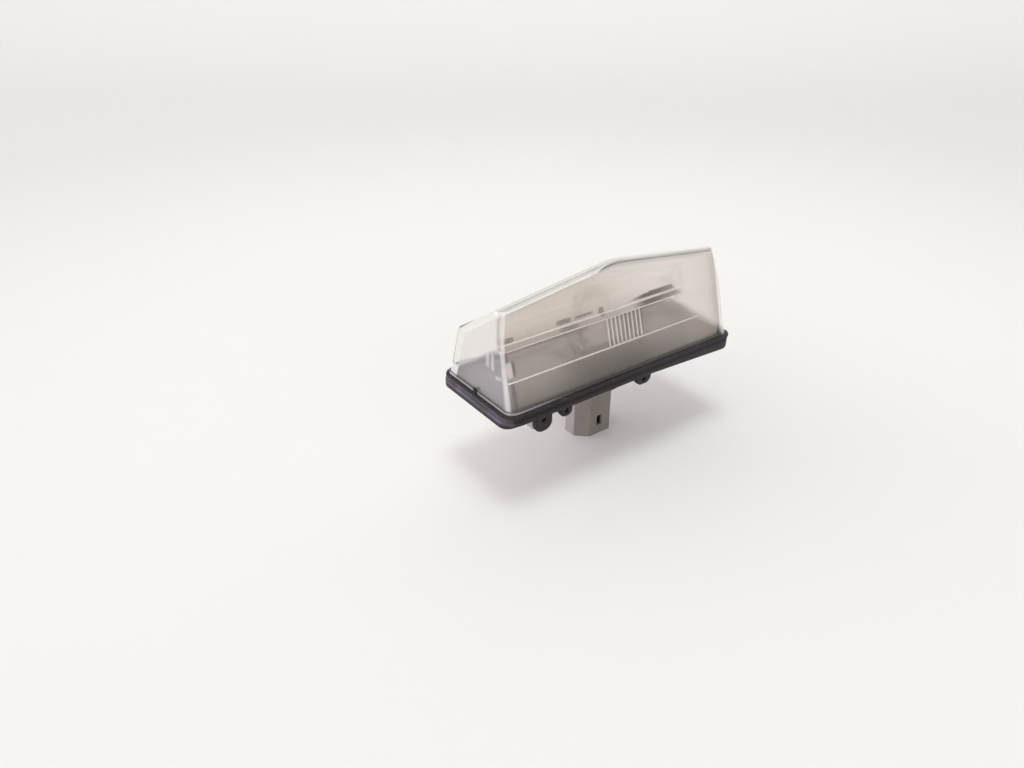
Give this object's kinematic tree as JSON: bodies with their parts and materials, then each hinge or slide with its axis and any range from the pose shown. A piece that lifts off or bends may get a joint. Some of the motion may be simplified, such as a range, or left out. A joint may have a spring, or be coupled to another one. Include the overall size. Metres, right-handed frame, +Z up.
{
  "type": "number plate lamp",
  "caption": "Car number plate lamp: clear wedge lens with a bent ridge on a grey housing, black rubber gasket with hanging tabs, wedge bulb and twist-in holder with a keyed connector.",
  "frame": {"origin": "level with the connector's mouth, under the middle of the gasket", "axes": "+X along the lens, the leaning front face looks towards -Y, +Z up out of the lens's ridge"},
  "size_m": [0.08, 0.0308, 0.0531],
  "materials": {
    "lens_clear": "clear polycarbonate, hazed and slightly yellowed with age",
    "housing_grey": "light grey moulded plastic",
    "gasket_rubber": "black moulded rubber, dusty along its edges",
    "holder_plastic": "grey-green glass-filled nylon",
    "seal_rubber": "black rubber",
    "terminal_brass": "tarnished brass strip",
    "bulb_glass": "clear glass",
    "lead_wire": "drawn nickel-iron wire",
    "filament_wire": "coiled tungsten wire"
  },
  "bodies": {
    "root": {"lens": "lens_clear", "housing": "housing_grey", "gasket": "gasket_rubber", "bulb_holder": "holder_plastic", "holder_seal": "seal_rubber", "terminal_left": "terminal_brass", "terminal_right": "terminal_brass", "bulb_envelope": "bulb_glass", "bulb_lead_left": "lead_wire", "bulb_lead_right": "lead_wire", "bulb_filament": "filament_wire"}
  },
  "joints": []
}
